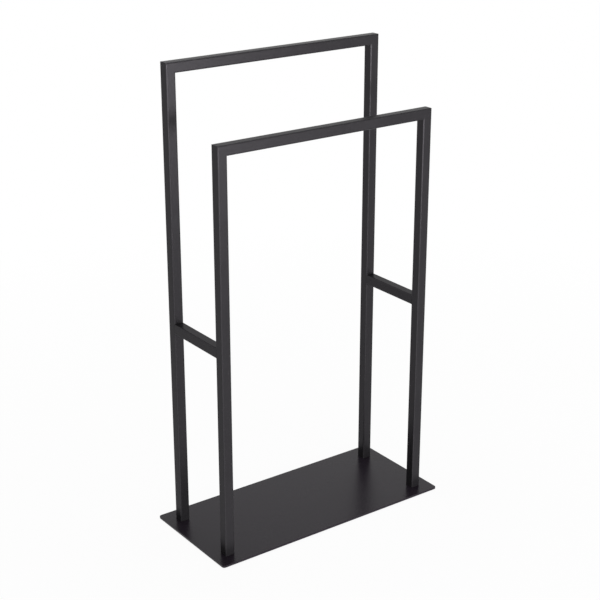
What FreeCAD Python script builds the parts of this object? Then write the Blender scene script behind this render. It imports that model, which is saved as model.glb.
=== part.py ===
import FreeCAD, Part
import os
import Sketcher
from math import cos, pi, radians, sin, tan

# Freestanding towel stand of powder-coated steel. Two inverted-U frames of square
# tube, the rear one taller, stand on a thin flat base plate and are tied together
# half-way up by a short cross bar on each side. The tubes are mitred or coped,
# welded and ground flush. One countersunk screw per leg, driven from under the
# plate, holds the frames down, and soft pads keep the plate off the floor.
#
# +Z is up and the rails run along X. The low front rail is on the -Y side. The
# origin is on the floor, under the middle of the base plate. Millimetres.

# ---- Driving sizes -----------------------------------------------------------

VALUES = {
    # base plate
    "plate_length": 470,
    "plate_width": 210,
    "plate_thickness": 4,
    "plate_corner_radius": 5,
    "plate_edge_chamfer": 0.4,
    # soft pads under the plate; the inset is from the plate's edges to a pad's middle
    "pad_diameter": 20,
    "pad_thickness": 2,
    "pad_edge_chamfer": 0.4,
    "pad_inset": 15,
    # roll-formed square tube of both frames and of the cross bars
    "tube_size": 18,
    "tube_wall": 1.2,
    "tube_corner_radius": 2.4,
    # heights above the floor: tops of the two rails, middle of the cross bars
    "rear_rail_top": 820,
    "front_rail_top": 717,
    "cross_bar_height": 372,
    # how far the legs' outer faces stand in from the plate's short and long sides
    "leg_side_inset": 21,
    "leg_front_inset": 24,
    # radius that the mitred corners are ground to, and how far a cross bar's coped
    # ends wrap round the legs' rounded corners
    "ground_corner_radius": 1,
    "cope_reach": 1.2,
    # threaded plug welded into the foot of each leg
    "plug_height": 14,
    "plug_clearance": 0.1,
    "plug_lead_in": 0.5,
    # countersunk socket screws and their holes in the plate
    "screw_diameter": 6,
    "screw_length": 16,
    "screw_tip_chamfer": 0.6,
    "screw_head_diameter": 12,
    "screw_head_land": 0.3,
    "screw_socket_width": 4,
    "screw_socket_depth": 2.3,
    "countersink_angle": 90,
    "countersink_margin": 0.5,
    "plate_hole_clearance": 0.3,
    "thread_clearance": 0.05,
}

doc = FreeCAD.newDocument("towel_stand")
sheet = doc.addObject("Spreadsheet::Sheet", "sizes")
for row, (name, value) in enumerate(VALUES.items(), 1):
    sheet.set("A%d" % row, name.replace("_", " "))
    sheet.set("B%d" % row, str(value))
    sheet.setAlias("B%d" % row, name)
doc.recompute()


class Size:
    """A size from the sheet, or a formula of such sizes, with its present value."""

    def __init__(self, formula, value):
        self.formula = formula
        self.value = value

    def __neg__(self):
        return Size("(-%s)" % self.formula, -self.value)

    def __add__(self, other):
        other = as_size(other)
        return Size("(%s + %s)" % (self.formula, other.formula), self.value + other.value)

    def __sub__(self, other):
        other = as_size(other)
        return Size("(%s - %s)" % (self.formula, other.formula), self.value - other.value)

    def __mul__(self, number):
        return Size("(%s * %s)" % (self.formula, number), self.value * number)

    def __truediv__(self, other):
        other = as_size(other)
        return Size("(%s / %s)" % (self.formula, other.formula), self.value / other.value)


def as_size(number):
    """Takes a size or a plain number."""
    if isinstance(number, Size):
        return number
    return Size(str(number), number)


def sheet_size(name):
    """The size that the sheet holds under this name."""
    return Size("sizes." + name, float(sheet.get(name)))


def limited(size, lowest, highest):
    """A size kept between two others."""
    size, lowest, highest = as_size(size), as_size(lowest), as_size(highest)
    formula = "max(min(%s; %s); %s)" % (size.formula, highest.formula, lowest.formula)
    return Size(formula, max(min(size.value, highest.value), lowest.value))


# Sizes that several pieces share, and those that follow from them.
TUBE = sheet_size("tube_size")
TUBE_RADIUS = sheet_size("tube_corner_radius")
BORE = TUBE - sheet_size("tube_wall") * 2
BORE_RADIUS = limited(TUBE_RADIUS - sheet_size("tube_wall"), 0.3, BORE / 3)
FRAME_WIDTH = sheet_size("plate_length") - sheet_size("leg_side_inset") * 2
LEG_X = (FRAME_WIDTH - TUBE) / 2
LEG_Y = (sheet_size("plate_width") - TUBE) / 2 - sheet_size("leg_front_inset")
PLATE_TOP = sheet_size("pad_thickness") + sheet_size("plate_thickness")
REAR_TOP = sheet_size("rear_rail_top")
FRONT_TOP = sheet_size("front_rail_top")
SCREW = sheet_size("screw_diameter")
SINK_ANGLE = sheet_size("countersink_angle")
SINK_SLOPE = Size("tan(%s / 2)" % SINK_ANGLE.formula, tan(radians(SINK_ANGLE.value / 2)))


# ---- Sketch and feature helpers ----------------------------------------------


def new_body(label):
    """One physical piece."""
    body = doc.addObject("PartDesign::Body", label)
    body.Label = label
    return body


def place_body(body, x, y, z, turn=0):
    """Puts a piece in the stand, turned about its upright axis."""
    axis = FreeCAD.Vector(0, 0, 1)
    body.Placement = FreeCAD.Placement(FreeCAD.Vector(), FreeCAD.Rotation(axis, turn))
    body.setExpression("Placement.Base.x", as_size(x).formula)
    body.setExpression("Placement.Base.y", as_size(y).formula)
    body.setExpression("Placement.Base.z", as_size(z).formula)


def origin_plane(body, role):
    """One of the three origin planes of a body."""
    return next(plane for plane in body.Origin.OriginFeatures if plane.Role == role)


def new_sketch(body, role, use):
    """A sketch on one of the body's own origin planes."""
    sketch = body.newObject("Sketcher::SketchObject", body.Name + "_" + use)
    sketch.AttachmentSupport = [(origin_plane(body, role), "")]
    sketch.MapMode = "FlatFace"
    return sketch


def dimension(sketch, size, kind, *where):
    """Adds a dimension to a sketch and drives it from the sheet."""
    size = as_size(size)
    index = sketch.addConstraint(Sketcher.Constraint(kind, *where, size.value))
    sketch.setExpression("Constraints[%d]" % index, size.formula)


def pin(sketch, geometry, point, x, y):
    """Dimensions one point of a sketch from the sketch's origin."""
    dimension(sketch, x, "DistanceX", -1, 1, geometry, point)
    dimension(sketch, y, "DistanceY", -1, 1, geometry, point)


def tie(sketch, kind, *where):
    """Adds a rule without a size, such as two points that coincide."""
    sketch.addConstraint(Sketcher.Constraint(kind, *where))


def draw_arc(sketch, x, y, radius, first_quarter):
    """A quarter circle about a point, from an axis direction round to the next."""
    centre = FreeCAD.Vector(as_size(x).value, as_size(y).value, 0)
    circle = Part.Circle(centre, FreeCAD.Vector(0, 0, 1), radius.value)
    start = first_quarter * pi / 2
    arc = sketch.addGeometry(Part.ArcOfCircle(circle, start, start + pi / 2))
    pin(sketch, arc, 3, x, y)
    level, plumb = (1, 2) if first_quarter % 2 == 0 else (2, 1)
    tie(sketch, "Horizontal", arc, 3, arc, level)
    tie(sketch, "Vertical", arc, 3, arc, plumb)
    dimension(sketch, radius, "Radius", arc)
    return arc


def draw_circle(sketch, diameter, x=0, y=0):
    """A circle about a point."""
    centre = FreeCAD.Vector(as_size(x).value, as_size(y).value, 0)
    circle = Part.Circle(centre, FreeCAD.Vector(0, 0, 1), diameter.value / 2)
    index = sketch.addGeometry(circle)
    pin(sketch, index, 3, x, y)
    dimension(sketch, diameter, "Diameter", index)


def draw_polygon(sketch, corners):
    """A closed outline of straight sides through the given corners, in turn."""
    points = [FreeCAD.Vector(as_size(x).value, as_size(y).value, 0) for x, y in corners]
    ends = points[1:] + points[:1]
    sides = [sketch.addGeometry(Part.LineSegment(*side)) for side in zip(points, ends)]
    for number, (x, y) in enumerate(corners):
        tie(sketch, "Coincident", sides[number - 1], 2, sides[number], 1)
        pin(sketch, sides[number], 1, x, y)


def draw_rounded_rectangle(sketch, width, depth, radius, x=0, y=0):
    """A rectangle with rounded corners about a point."""
    x, y = as_size(x), as_size(y)
    reach_x, reach_y = width / 2 - radius, depth / 2 - radius
    arcs = []
    for quarter, (right, back) in enumerate([(1, 1), (-1, 1), (-1, -1), (1, -1)]):
        centre = x + reach_x * right, y + reach_y * back
        arcs.append(draw_arc(sketch, *centre, radius, quarter))
    for arc, following in zip(arcs, arcs[1:] + arcs[:1]):
        ends = sketch.getPoint(arc, 2), sketch.getPoint(following, 1)
        side = sketch.addGeometry(Part.LineSegment(*ends))
        tie(sketch, "Coincident", arc, 2, side, 1)
        tie(sketch, "Coincident", side, 2, following, 1)


def extrude(body, sketch, length, symmetric=False):
    """Pads a sketch."""
    pad = body.newObject("PartDesign::Pad", body.Name + "_pad")
    pad.Profile = sketch
    pad.SideType = "Symmetric" if symmetric else "One side"
    pad.setExpression("Length", length.formula)
    return pad


def cut_through(body, sketch, use):
    """Cuts a sketch through the whole piece, both ways from its plane."""
    pocket = body.newObject("PartDesign::Pocket", body.Name + "_" + use)
    pocket.Profile = sketch
    pocket.SideType = "Symmetric"
    pocket.Type = "ThroughAll"
    check_cut(pocket)
    return pocket


def countersunk_hole(body, places, use, diameter, mouth, angle):
    """Drills through from the underside, with a countersink at the mouth."""
    doc.recompute()
    hole = body.newObject("PartDesign::Hole", body.Name + "_" + use)
    hole.Profile = places
    hole.Reversed = True
    hole.DepthType = "ThroughAll"
    hole.HoleCutType = "Countersink"
    hole.HoleCutCustomValues = True
    hole.setExpression("Diameter", diameter.formula)
    hole.setExpression("HoleCutDiameter", mouth.formula)
    hole.setExpression("HoleCutCountersinkAngle", angle.formula)
    check_cut(hole)


def check_cut(feature):
    """Makes sure that a cut took material away."""
    doc.recompute()
    if feature.Shape.Volume > feature.BaseFeature.Shape.Volume - 0.01:
        raise RuntimeError(feature.Name + " cuts nothing")


def flat_edges(feature, height):
    """Names the edges of a feature that lie level at the given height."""
    doc.recompute()
    return [
        "Edge%d" % number
        for number, edge in enumerate(feature.Shape.Edges, 1)
        if abs(edge.BoundBox.ZMin - height) + abs(edge.BoundBox.ZMax - height) < 0.001
    ]


# ---- Square tube -------------------------------------------------------------


def square_tube(body, role, length, symmetric=False):
    """A length of hollow square tube, square to one of the origin planes."""
    section = new_sketch(body, role, "section")
    draw_rounded_rectangle(section, TUBE, TUBE, TUBE_RADIUS)
    draw_rounded_rectangle(section, BORE, BORE, BORE_RADIUS)
    extrude(body, section, length, symmetric)


def mitre(body, corner_x, corner_z, keep_below):
    """Saws a tube's end at 45 degrees, down and to the right from a top corner.

    The outer corner, which the welder grinds smooth, gets its small radius here,
    so a leg and a rail each carry their half of it.
    """
    saw_line = new_sketch(body, "XZ_Plane", "mitre_line")
    overrun = 5
    left, right = corner_x - overrun, corner_x + TUBE + overrun
    top, bottom = corner_z + overrun, corner_z - TUBE - overrun
    waste = (right, top) if keep_below else (left, bottom)
    draw_polygon(saw_line, [(left, top), (right, bottom), waste])
    sawn = cut_through(body, saw_line, "mitre")

    radius = sheet_size("ground_corner_radius")
    rim = new_sketch(body, "XZ_Plane", "ground_line")
    arc = draw_arc(rim, corner_x + radius, corner_z - radius, radius, 1)
    outside = FreeCAD.Vector(corner_x.value, corner_z.value, 0)
    across = rim.addGeometry(Part.LineSegment(rim.getPoint(arc, 1), outside))
    down = rim.addGeometry(Part.LineSegment(outside, rim.getPoint(arc, 2)))
    tie(rim, "Coincident", arc, 1, across, 1)
    tie(rim, "Coincident", across, 2, down, 1)
    tie(rim, "Coincident", down, 2, arc, 2)
    tie(rim, "Horizontal", across)
    tie(rim, "Vertical", down)
    ground = cut_through(body, rim, "ground_corner")
    return sawn, ground


# ---- Base plate --------------------------------------------------------------
# Flat steel blank with rounded corners and a light chamfer round both faces. Each
# leg's screw comes up through a hole that is countersunk in the underside.

THICKNESS = sheet_size("plate_thickness")
SINK_MARGIN = sheet_size("countersink_margin")
HEAD = sheet_size("screw_head_diameter")

base_plate = new_body("base_plate")
outline = new_sketch(base_plate, "XY_Plane", "outline")
draw_rounded_rectangle(
    outline,
    sheet_size("plate_length"),
    sheet_size("plate_width"),
    sheet_size("plate_corner_radius"),
)
blank = extrude(base_plate, outline, THICKNESS)
rims = flat_edges(blank, 0) + flat_edges(blank, THICKNESS.value)
broken_edges = base_plate.newObject("PartDesign::Chamfer", "base_plate_edges")
broken_edges.Base = (blank, rims)
edge_chamfer = limited(sheet_size("plate_edge_chamfer"), 0.01, THICKNESS * 0.45)
broken_edges.setExpression("Size", edge_chamfer.formula)

hole_size = SCREW + sheet_size("plate_hole_clearance") * 2
hole_places = new_sketch(base_plate, "XY_Plane", "hole_places")
for side in (-1, 1):
    for depth in (-1, 1):
        draw_circle(hole_places, hole_size, LEG_X * side, LEG_Y * depth)
countersunk_hole(
    base_plate, hole_places, "screw_holes", hole_size, HEAD + SINK_MARGIN * 2, SINK_ANGLE
)
place_body(base_plate, 0, 0, sheet_size("pad_thickness"))


# ---- Legs --------------------------------------------------------------------
# Each leg stands square on the plate and is mitred at the top, where it meets its
# rail. A right leg is a left one turned round.


def leg(label, side, depth, rail_top):
    """One leg, from the plate up to the outer corner of its frame."""
    body = new_body(label)
    length = rail_top - PLATE_TOP
    square_tube(body, "XY_Plane", length)
    mitre(body, -TUBE / 2, length, keep_below=True)
    turn = 180 if side > 0 else 0
    place_body(body, LEG_X * side, LEG_Y * depth, PLATE_TOP, turn)


leg("rear_left_leg", -1, 1, REAR_TOP)
leg("rear_right_leg", 1, 1, REAR_TOP)
leg("front_left_leg", -1, -1, FRONT_TOP)
leg("front_right_leg", 1, -1, FRONT_TOP)


# ---- Rails -------------------------------------------------------------------
# The two bars that towels hang on, mitred at both ends.


def rail(label, depth, rail_top):
    """One rail, as wide as the frame and mitred at both ends."""
    body = new_body(label)
    square_tube(body, "YZ_Plane", FRAME_WIDTH, symmetric=True)
    left_end = mitre(body, -FRAME_WIDTH / 2, TUBE / 2, keep_below=False)
    right_end = body.newObject("PartDesign::Mirrored", label + "_right_end")
    right_end.Originals = list(left_end)
    right_end.MirrorPlane = (origin_plane(body, "YZ_Plane"), [""])
    body.Tip = right_end
    check_cut(right_end)
    place_body(body, 0, LEG_Y * depth, rail_top - TUBE / 2)


rail("rear_top_rail", 1, REAR_TOP)
rail("front_top_rail", -1, FRONT_TOP)


# ---- Cross bars --------------------------------------------------------------
# Short tubes between the front and rear legs, flush with the legs on both sides.
# Their ends are coped round the legs' rounded corners, as the ground weld is.


def cross_bar(label, side):
    """One cross bar, from the front leg's back face to the rear leg's front face."""
    body = new_body(label)
    reach = limited(sheet_size("cope_reach"), 0, TUBE_RADIUS * 0.6)
    square_tube(body, "XZ_Plane", LEG_Y * 2 - TUBE + reach * 2, symmetric=True)
    leg_outlines = new_sketch(body, "XY_Plane", "leg_outlines")
    for depth in (-1, 1):
        draw_rounded_rectangle(leg_outlines, TUBE, TUBE, TUBE_RADIUS, y=LEG_Y * depth)
    cut_through(body, leg_outlines, "coped_ends")
    place_body(body, LEG_X * side, 0, sheet_size("cross_bar_height"))


cross_bar("left_cross_bar", -1)
cross_bar("right_cross_bar", 1)


# ---- Leg plugs, screws and pads ----------------------------------------------
# A steel plug, tapped right through, is welded flush into the foot of each leg.
# A countersunk socket screw is drawn up into it through the plate, its head sunk
# just below the underside. A soft pad is stuck under each corner of the plate.


def leg_plug(label, side, depth):
    """One threaded plug, inside the foot of a leg."""
    body = new_body(label)
    width = BORE - sheet_size("plug_clearance") * 2
    section = new_sketch(body, "XY_Plane", "section")
    draw_rounded_rectangle(section, width, width, BORE_RADIUS)
    extrude(body, section, sheet_size("plug_height"))
    middle = new_sketch(body, "XY_Plane", "hole_place")
    draw_circle(middle, SCREW)
    mouth = SCREW + sheet_size("plug_lead_in") * 2
    countersunk_hole(body, middle, "thread", SCREW, mouth, SINK_ANGLE)
    place_body(body, LEG_X * side, LEG_Y * depth, PLATE_TOP)


def screw(label, side, depth):
    """One countersunk screw, head down, with its hexagon socket."""
    body = new_body(label)
    shank = SCREW / 2 - sheet_size("thread_clearance")
    head = HEAD / 2
    land = sheet_size("screw_head_land")
    neck = land + (head - shank) / SINK_SLOPE
    length = sheet_size("screw_length")
    tip = sheet_size("screw_tip_chamfer")
    half_section = new_sketch(body, "XZ_Plane", "half_section")
    draw_polygon(
        half_section,
        [
            (0, 0),
            (head, 0),
            (head, land),
            (shank, neck),
            (shank, length - tip),
            (shank - tip, length),
            (0, length),
        ],
    )
    turned = body.newObject("PartDesign::Revolution", label + "_turned")
    turned.Profile = half_section
    turned.ReferenceAxis = (half_section, ["V_Axis"])
    turned.Angle = 360

    hexagon = new_sketch(body, "XY_Plane", "socket_outline")
    corner_reach = sheet_size("screw_socket_width") / (2 * cos(pi / 6))
    angles = [pi / 3 * number for number in range(6)]
    draw_polygon(hexagon, [(corner_reach * cos(a), corner_reach * sin(a)) for a in angles])
    socket = body.newObject("PartDesign::Pocket", label + "_socket")
    socket.Profile = hexagon
    socket.Reversed = True
    socket.setExpression("Length", "sizes.screw_socket_depth")
    check_cut(socket)
    seat = SINK_MARGIN / SINK_SLOPE - land
    place_body(body, LEG_X * side, LEG_Y * depth, sheet_size("pad_thickness") + seat)


def floor_pad(label, side, depth):
    """One round pad under a corner of the plate, its lower edge chamfered."""
    body = new_body(label)
    disc = new_sketch(body, "XY_Plane", "disc")
    draw_circle(disc, sheet_size("pad_diameter"))
    blank = extrude(body, disc, sheet_size("pad_thickness"))
    chamfer = body.newObject("PartDesign::Chamfer", label + "_rim")
    chamfer.Base = (blank, flat_edges(blank, 0))
    rim = limited(sheet_size("pad_edge_chamfer"), 0.01, sheet_size("pad_thickness") * 0.8)
    chamfer.setExpression("Size", rim.formula)
    inset = sheet_size("pad_inset")
    x = (sheet_size("plate_length") / 2 - inset) * side
    y = (sheet_size("plate_width") / 2 - inset) * depth
    place_body(body, x, y, 0)


CORNERS = {
    "rear_left": (-1, 1),
    "rear_right": (1, 1),
    "front_left": (-1, -1),
    "front_right": (1, -1),
}
for corner, (side, depth) in CORNERS.items():
    leg_plug(corner + "_leg_plug", side, depth)
    screw(corner + "_screw", side, depth)
    floor_pad(corner + "_floor_pad", side, depth)


# ---- Check and write ---------------------------------------------------------

doc.recompute()
for item in doc.Objects:
    if "Invalid" in item.State or "Error" in item.State:
        raise RuntimeError(item.Name + " did not build")

pieces = [item for item in doc.Objects if item.TypeId == "PartDesign::Body"]
for piece in pieces:
    shape = piece.Shape
    if shape.isNull() or not shape.isValid() or len(shape.Solids) != 1:
        raise RuntimeError(piece.Label + " is not one sound solid")

os.makedirs("parts", exist_ok=True)
for piece in pieces:
    piece.Shape.exportStep("parts/%s.step" % piece.Label)
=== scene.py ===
import math

import bpy
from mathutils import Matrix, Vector

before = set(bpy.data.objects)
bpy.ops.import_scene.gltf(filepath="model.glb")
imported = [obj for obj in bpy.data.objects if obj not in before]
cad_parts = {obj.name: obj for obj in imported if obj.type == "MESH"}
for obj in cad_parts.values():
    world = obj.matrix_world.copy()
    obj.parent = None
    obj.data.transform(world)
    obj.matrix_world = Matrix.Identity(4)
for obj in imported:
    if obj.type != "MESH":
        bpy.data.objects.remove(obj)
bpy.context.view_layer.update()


# ------------------------------------------------------------------ camera
# In front of the stand and to its left, well above the tall frame. It looks
# down through a long lens, so the uprights draw together only slightly
# towards the floor.

CAMERA_PLACE = (-1.3271, -1.8196, 1.2593)
CAMERA_LENS = 84.39  # millimetres
CAMERA_SENSOR = 36  # millimetres wide
CAMERA_TURN = 0.6299  # radians from straight ahead towards the right
CAMERA_DIP = 0.3660  # radians below level

camera = bpy.data.objects.new("camera", bpy.data.cameras.new("camera"))
camera.data.sensor_width = CAMERA_SENSOR
camera.data.lens = CAMERA_LENS
camera.location = CAMERA_PLACE
camera.rotation_euler = (math.pi / 2 - CAMERA_DIP, 0, -CAMERA_TURN)
bpy.context.scene.collection.objects.link(camera)
bpy.context.scene.camera = camera


# --------------------------------------------- square tubes of both frames
# Four legs and two towel rails of 18 mm square steel tube, mitred and welded
# at the top corners and ground flush, with two short bars between the frames.
# Everything is powder coated satin black after welding, so no joint shows.

MILLIMETRE = 0.001

TUBE_NODES = [
    "rear_left_leg", "rear_right_leg", "rear_top_rail",
    "front_left_leg", "front_right_leg", "front_top_rail",
    "left_cross_bar", "right_cross_bar",
]
TUBE_BLACK = (0.0289, 0.0271, 0.0301)
TUBE_BLACK_THIN = (0.0342, 0.0324, 0.0354)
PEEL_SIZE = 1.8 * MILLIMETRE
GRAIN_SIZE = 0.35 * MILLIMETRE
COAT_RELIEF = 0.06 * MILLIMETRE
EDGE_START = 0.01  # 1 less the largest part of the way a point faces, where an edge starts
EDGE_FULL = 0.22  # and where the coat is as thin as on a sharp edge and the painted highlight is at its fullest
EDGE_COAT_AND_HIGHLIGHT_TONE = 1.45  # how much paler edges are painted: partly the thinner coat there, partly a painted highlight along them


class Measure:
    """What a shader node gives out. Sums with it add Math nodes."""

    def __init__(self, finish, socket):
        self.finish = finish
        self.socket = socket

    def maths(self, operation, *terms):
        return self.finish.node("ShaderNodeMath", {"operation": operation}, terms)

    def __add__(self, other):
        return self.maths("ADD", self, other)

    def __sub__(self, other):
        return self.maths("SUBTRACT", self, other)

    def __rsub__(self, other):
        return self.maths("SUBTRACT", other, self)

    def __mul__(self, other):
        return self.maths("MULTIPLY", self, other)

    def __pow__(self, other):
        return self.maths("POWER", self, other)

    def __rpow__(self, other):
        return self.maths("POWER", other, self)

    def __abs__(self):
        return self.maths("ABSOLUTE", self)

    def larger(self, other):
        return self.maths("MAXIMUM", self, other)

    __radd__ = __add__
    __rmul__ = __mul__


class Finish:
    """The shader nodes of one material, or of the room."""

    def __init__(self, owner):
        owner.use_nodes = True
        owner.node_tree.nodes.clear()
        self.owner = owner
        self.tree = owner.node_tree

    def node(self, kind, settings=(), inputs=(), output=0):
        """Adds a node, sets it, feeds its sockets and gives one output or a list."""
        made = self.tree.nodes.new(kind)
        for name, value in dict(settings).items():
            setattr(made, name, value)
        for name, value in inputs.items() if isinstance(inputs, dict) else enumerate(inputs):
            if isinstance(value, Measure):
                self.tree.links.new(value.socket, made.inputs[name])
            else:
                made.inputs[name].default_value = value
        if isinstance(output, list):
            return [Measure(self, made.outputs[name]) for name in output]
        return Measure(self, made.outputs[output]) if made.outputs else made

    def place(self):
        """Where a point of the piece is, in metres."""
        return self.node("ShaderNodeTexCoord", output="Object")

    def parts(self, vector):
        """The three numbers of a vector."""
        return self.node("ShaderNodeSeparateXYZ", {}, [vector], ["X", "Y", "Z"])

    def noise(self, place, size, detail=2.0, roughness=0.5):
        """Soft lumps about as wide as size, from 0 to 1."""
        inputs = {"Vector": place, "Scale": 1 / size, "Detail": detail, "Roughness": roughness}
        return self.node("ShaderNodeTexNoise", {}, inputs, "Fac")

    def rise(self, value, start, end, low=0.0, high=1.0):
        """From low to high as value goes from start to end, and level beyond."""
        inputs = {"Value": value, "From Min": start, "From Max": end, "To Min": low, "To Max": high}
        return self.node("ShaderNodeMapRange", {"clamp": True}, inputs, "Result")

    def colour(self, share, first, second):
        """A colour between two, by share."""
        first, second = [one if isinstance(one, Measure) else (*one, 1) for one in (first, second)]
        return self.node("ShaderNodeMix", {"data_type": "RGBA"}, {0: share, 6: first, 7: second}, 2)

    def bump(self, height, depth, strength):
        """A surface raised by height times depth, in metres."""
        inputs = {"Height": height, "Distance": depth, "Strength": strength}
        return self.node("ShaderNodeBump", {}, inputs, "Normal")

    def surface(self, **inputs):
        """The finished material: a Principled BSDF with these sockets."""
        sockets = {name.replace("_", " "): value for name, value in inputs.items()}
        shader = self.node("ShaderNodeBsdfPrincipled", {}, sockets)
        self.node("ShaderNodeOutputMaterial", {}, {"Surface": shader})
        return self.owner


def finish_nodes(material, nodes):
    """Puts a finish on CAD nodes in place of their plain one."""
    for name in nodes:
        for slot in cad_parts[name].material_slots:
            slot.material = material


def on_edges(coat):
    """1 on rounded and broken edges and 0 on flat faces, from how they face."""
    facing = coat.node("ShaderNodeTexCoord", output="Normal")
    across, along, up = [abs(part) for part in coat.parts(facing)]
    # this mask carries the paler edge colour, partly thinner coat and partly painted highlight
    return coat.rise(1 - across.larger(along).larger(up), EDGE_START, EDGE_FULL)


def powder_coat(name, black, black_thin, roughness, body, shine, edge_shine, cloud_size):
    """Satin powder coat with a faint orange peel, painted paler on edges: partly a thinner coat,
    partly a painted highlight.
    """
    coat = Finish(bpy.data.materials.new(name))
    place = coat.place()
    cloud = coat.noise(place, cloud_size, detail=3.0)
    peel = coat.noise(place, PEEL_SIZE, detail=1.0)
    grain = coat.noise(place, GRAIN_SIZE, detail=2.0, roughness=0.6)
    face = coat.colour(cloud * 0.7 + grain * 0.3, black, black_thin)
    # edge colour: a thinner, paler coat together with a painted highlight along every rounded edge
    black_and_highlight_on_edges = [EDGE_COAT_AND_HIGHLIGHT_TONE * part for part in black_thin]
    return coat.surface(
        Base_Color=coat.colour(on_edges(coat), face, black_and_highlight_on_edges),
        Roughness=roughness + (cloud - 0.5) * 0.08 + (grain - 0.5) * 0.06,
        Metallic=body,
        Specular_IOR_Level=shine,
        Specular_Tint=(edge_shine, edge_shine, edge_shine, 1),
        Normal=coat.bump(peel * 0.7 + grain * 0.3, COAT_RELIEF, strength=0.8),
    )


tube_coat = powder_coat(
    "tube_powder_coat", TUBE_BLACK, TUBE_BLACK_THIN,
    roughness=0.325, body=0.57, shine=0.075, edge_shine=0.6, cloud_size=45 * MILLIMETRE,
)
finish_nodes(tube_coat, TUBE_NODES)


# -------------------------------------------------------------- base plate
# One sheet of 4 mm steel, laser cut, with small rounded corners and broken
# edges. It lies flat and has the same satin black powder coat, a little
# glossier than on the tubes, so the legs show in it as soft dark marks.

PLATE_BLACK = (0.0134, 0.0095, 0.0149)
PLATE_BLACK_THIN = (0.0170, 0.0131, 0.0185)

plate_coat = powder_coat(
    "plate_powder_coat", PLATE_BLACK, PLATE_BLACK_THIN,
    roughness=0.285, body=0.0, shine=0.19, edge_shine=1.0, cloud_size=90 * MILLIMETRE,
)
finish_nodes(plate_coat, ["base_plate"])


# --------------------------------------------------------------- leg plugs
# Turned mild steel slugs with an M6 thread, welded into the foot of each leg.
# Bare metal, with the rings that the turning tool leaves.

CORNERS = ["rear_left", "rear_right", "front_left", "front_right"]
LEG_X = 205 * MILLIMETRE
LEG_Y = 72 * MILLIMETRE
PLUG_STEEL = (0.42, 0.41, 0.40)
PLUG_STEEL_DULL = (0.30, 0.29, 0.28)
STAIN_SIZE = 4 * MILLIMETRE
PIT_SIZE = 0.25 * MILLIMETRE
RING_WANDER = 3.0  # radians by which a ring runs out of true


def turned_steel(name, bright, dull, roughness, pitch, groove):
    """Steel turned on a lathe, with fine rings round the axis of its leg."""
    steel = Finish(bpy.data.materials.new(name))
    place = steel.place()
    stain = steel.noise(place, STAIN_SIZE, detail=3.0)
    pits = steel.noise(place, PIT_SIZE, detail=2.0, roughness=0.6)
    across, along, _ = steel.parts(place)
    from_axis = ((abs(across) - LEG_X) ** 2 + (abs(along) - LEG_Y) ** 2) ** 0.5
    rings = from_axis.maths("SINE", from_axis * (2 * math.pi / pitch) + stain * RING_WANDER)
    return steel.surface(
        Base_Color=steel.colour(stain * 0.8 + pits * 0.2, bright, dull),
        Metallic=1.0,
        Roughness=roughness + (stain - 0.5) * 0.12 + (pits - 0.5) * 0.10,
        Normal=steel.bump(rings * 0.5 + pits * 0.5, groove, strength=0.5),
    )


plug_steel = turned_steel(
    "plug_turned_steel", PLUG_STEEL, PLUG_STEEL_DULL,
    roughness=0.42, pitch=0.3 * MILLIMETRE, groove=0.02 * MILLIMETRE,
)
finish_nodes(plug_steel, [corner + "_leg_plug" for corner in CORNERS])


# ------------------------------------------------------------------ screws
# M6 countersunk socket screws, driven up through the plate into the plugs
# until their heads lie just inside its underside. Blackened and lightly oiled.

BLACK_OXIDE = (0.090, 0.090, 0.095)
BLACK_OXIDE_WORN = (0.140, 0.138, 0.142)

screw_steel = turned_steel(
    "screw_black_oxide", BLACK_OXIDE, BLACK_OXIDE_WORN,
    roughness=0.32, pitch=0.22 * MILLIMETRE, groove=0.008 * MILLIMETRE,
)
finish_nodes(screw_steel, [corner + "_screw" for corner in CORNERS])


# -------------------------------------------------------------- floor pads
# Round stick-on pads of black foam rubber under the four corners of the
# plate. Die cut, matt, with fine open pores.

PAD_BLACK = (0.018, 0.018, 0.019)
PAD_GREY = (0.040, 0.039, 0.040)
PORE_SIZE = 0.5 * MILLIMETRE
PORE_DEPTH = 0.12 * MILLIMETRE
DUST_SIZE = 3 * MILLIMETRE

foam = Finish(bpy.data.materials.new("pad_foam_rubber"))
place = foam.place()
cells = {"Vector": place, "Scale": 1 / PORE_SIZE}
pores = foam.node("ShaderNodeTexVoronoi", {}, cells, "Distance")
dust = foam.noise(place, DUST_SIZE, detail=4.0)
pad_foam = foam.surface(
    Base_Color=foam.colour(dust * 0.6 + pores * 0.4, PAD_BLACK, PAD_GREY),
    Roughness=0.88 + (dust - 0.5) * 0.12,
    Specular_IOR_Level=0.3,
    Normal=foam.bump(pores * 0.7 + dust * 0.3, PORE_DEPTH, strength=0.8),
)
finish_nodes(pad_foam, [corner + "_floor_pad" for corner in CORNERS])


# ------------------------------------------------------------------ studio
# A white floor and backdrop with one wide low soft lamp in front and one
# overhead, under a ceiling that is dim in reflections. The floor is plain
# paper with the stand's soft shadow close by, and pure white further out.

WHITE = (1, 1, 1, 1)
ROOM_LIGHT = 0.20  # what the room sheds on the stand from all round
WALL_WHITE = 1.0  # how bright the walls look
CEILING_WHITE = 0.05  # and the ceiling, in reflections
WALL_TOP = 0.55  # sine of the angle above level where the walls start to dim
CEILING_EDGE = 0.70  # and of the angle where the ceiling starts
FLOOR_REACH = 30.0
FLOOR_PAPER = (0.90, 0.90, 0.90, 1)
SHADOW_REACH = 0.3  # metres from the middle, as far as the shadow is at its fullest
SHADOW_END = 1.6  # and where nothing of it is left
SHADOW_WHITE = 0.94  # share of plain white in the paper where the shadow is fullest
LAMP_AIM = Vector((0, 0, 0.35))


def seen_directly(finish):
    """1 for what the camera sees, itself, in a reflection or through glass."""
    kinds = ["Is Camera Ray", "Is Glossy Ray", "Is Transmission Ray"]
    seen, mirrored, passed = finish.node("ShaderNodeLightPath", output=kinds)
    return seen.larger(mirrored).larger(passed)


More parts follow.
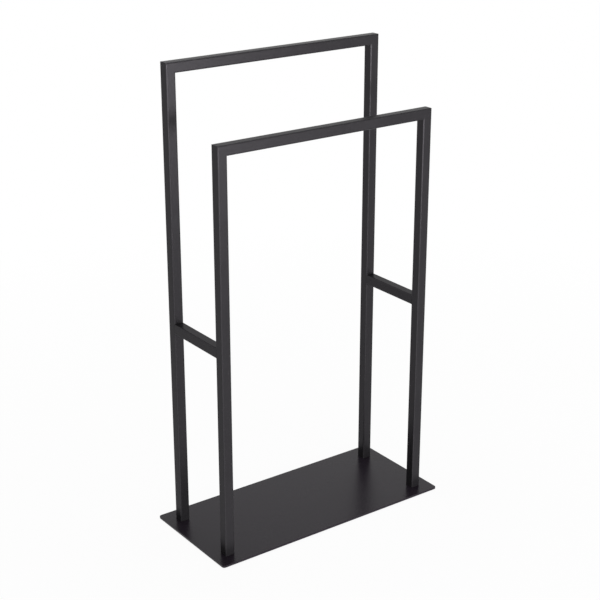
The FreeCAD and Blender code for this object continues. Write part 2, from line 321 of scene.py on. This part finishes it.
def soft_lamp(name, place, width, height, power):
    """A large rectangular lamp turned towards the stand."""
    light = bpy.data.lights.new(name, "AREA")
    light.shape = "RECTANGLE"
    light.size = width
    light.size_y = height
    light.energy = power
    lamp = bpy.data.objects.new(name, light)
    lamp.location = place
    lamp.rotation_euler = (LAMP_AIM - Vector(place)).to_track_quat("-Z", "Y").to_euler()
    bpy.context.scene.collection.objects.link(lamp)


world = bpy.data.worlds.new("room")
bpy.context.scene.world = world
room = Finish(world)
_, _, height = room.parts(room.node("ShaderNodeTexCoord", output="Generated"))
backdrop = room.node("ShaderNodeLightPath", output="Is Camera Ray")
overhead = room.rise(height, WALL_TOP, CEILING_EDGE) * (1 - backdrop)
glow, walls, ceiling = [
    room.node("ShaderNodeBackground", {}, {"Color": WHITE, "Strength": strength})
    for strength in (ROOM_LIGHT, WALL_WHITE, CEILING_WHITE)
]
around = room.node("ShaderNodeMixShader", {}, [overhead, walls, ceiling])
light = room.node("ShaderNodeMixShader", {}, [seen_directly(room), glow, around])
room.node("ShaderNodeOutputWorld", {}, {"Surface": light})

floor_mesh = bpy.data.meshes.new("floor")
floor_mesh.from_pydata(
    [(x * FLOOR_REACH, y * FLOOR_REACH, 0) for x, y in ((-1, -1), (1, -1), (1, 1), (-1, 1))],
    [], [(0, 1, 2, 3)],
)
floor = bpy.data.objects.new("floor", floor_mesh)
bpy.context.scene.collection.objects.link(floor)

paper = Finish(bpy.data.materials.new("floor_paper"))
far = paper.node("ShaderNodeVectorMath", {"operation": "LENGTH"}, [paper.place()], "Value")
whiteness = paper.rise(far, SHADOW_REACH, SHADOW_END, low=SHADOW_WHITE)
matt = paper.node("ShaderNodeBsdfDiffuse", {}, {"Color": FLOOR_PAPER})
white = paper.node("ShaderNodeEmission", {}, {"Color": WHITE, "Strength": 1.0})
sheet = paper.node("ShaderNodeMixShader", {}, [seen_directly(paper) * whiteness, matt, white])
paper.node("ShaderNodeOutputMaterial", {}, {"Surface": sheet})
floor_mesh.materials.append(paper.owner)

soft_lamp("front_lamp", place=(-0.1, -3.0, 0.39), width=3.4, height=0.68, power=105)
soft_lamp("top_lamp", place=(0.2, 0.3, 3.0), width=1.8, height=1.8, power=48)

bpy.context.scene.view_settings.view_transform = "Standard"
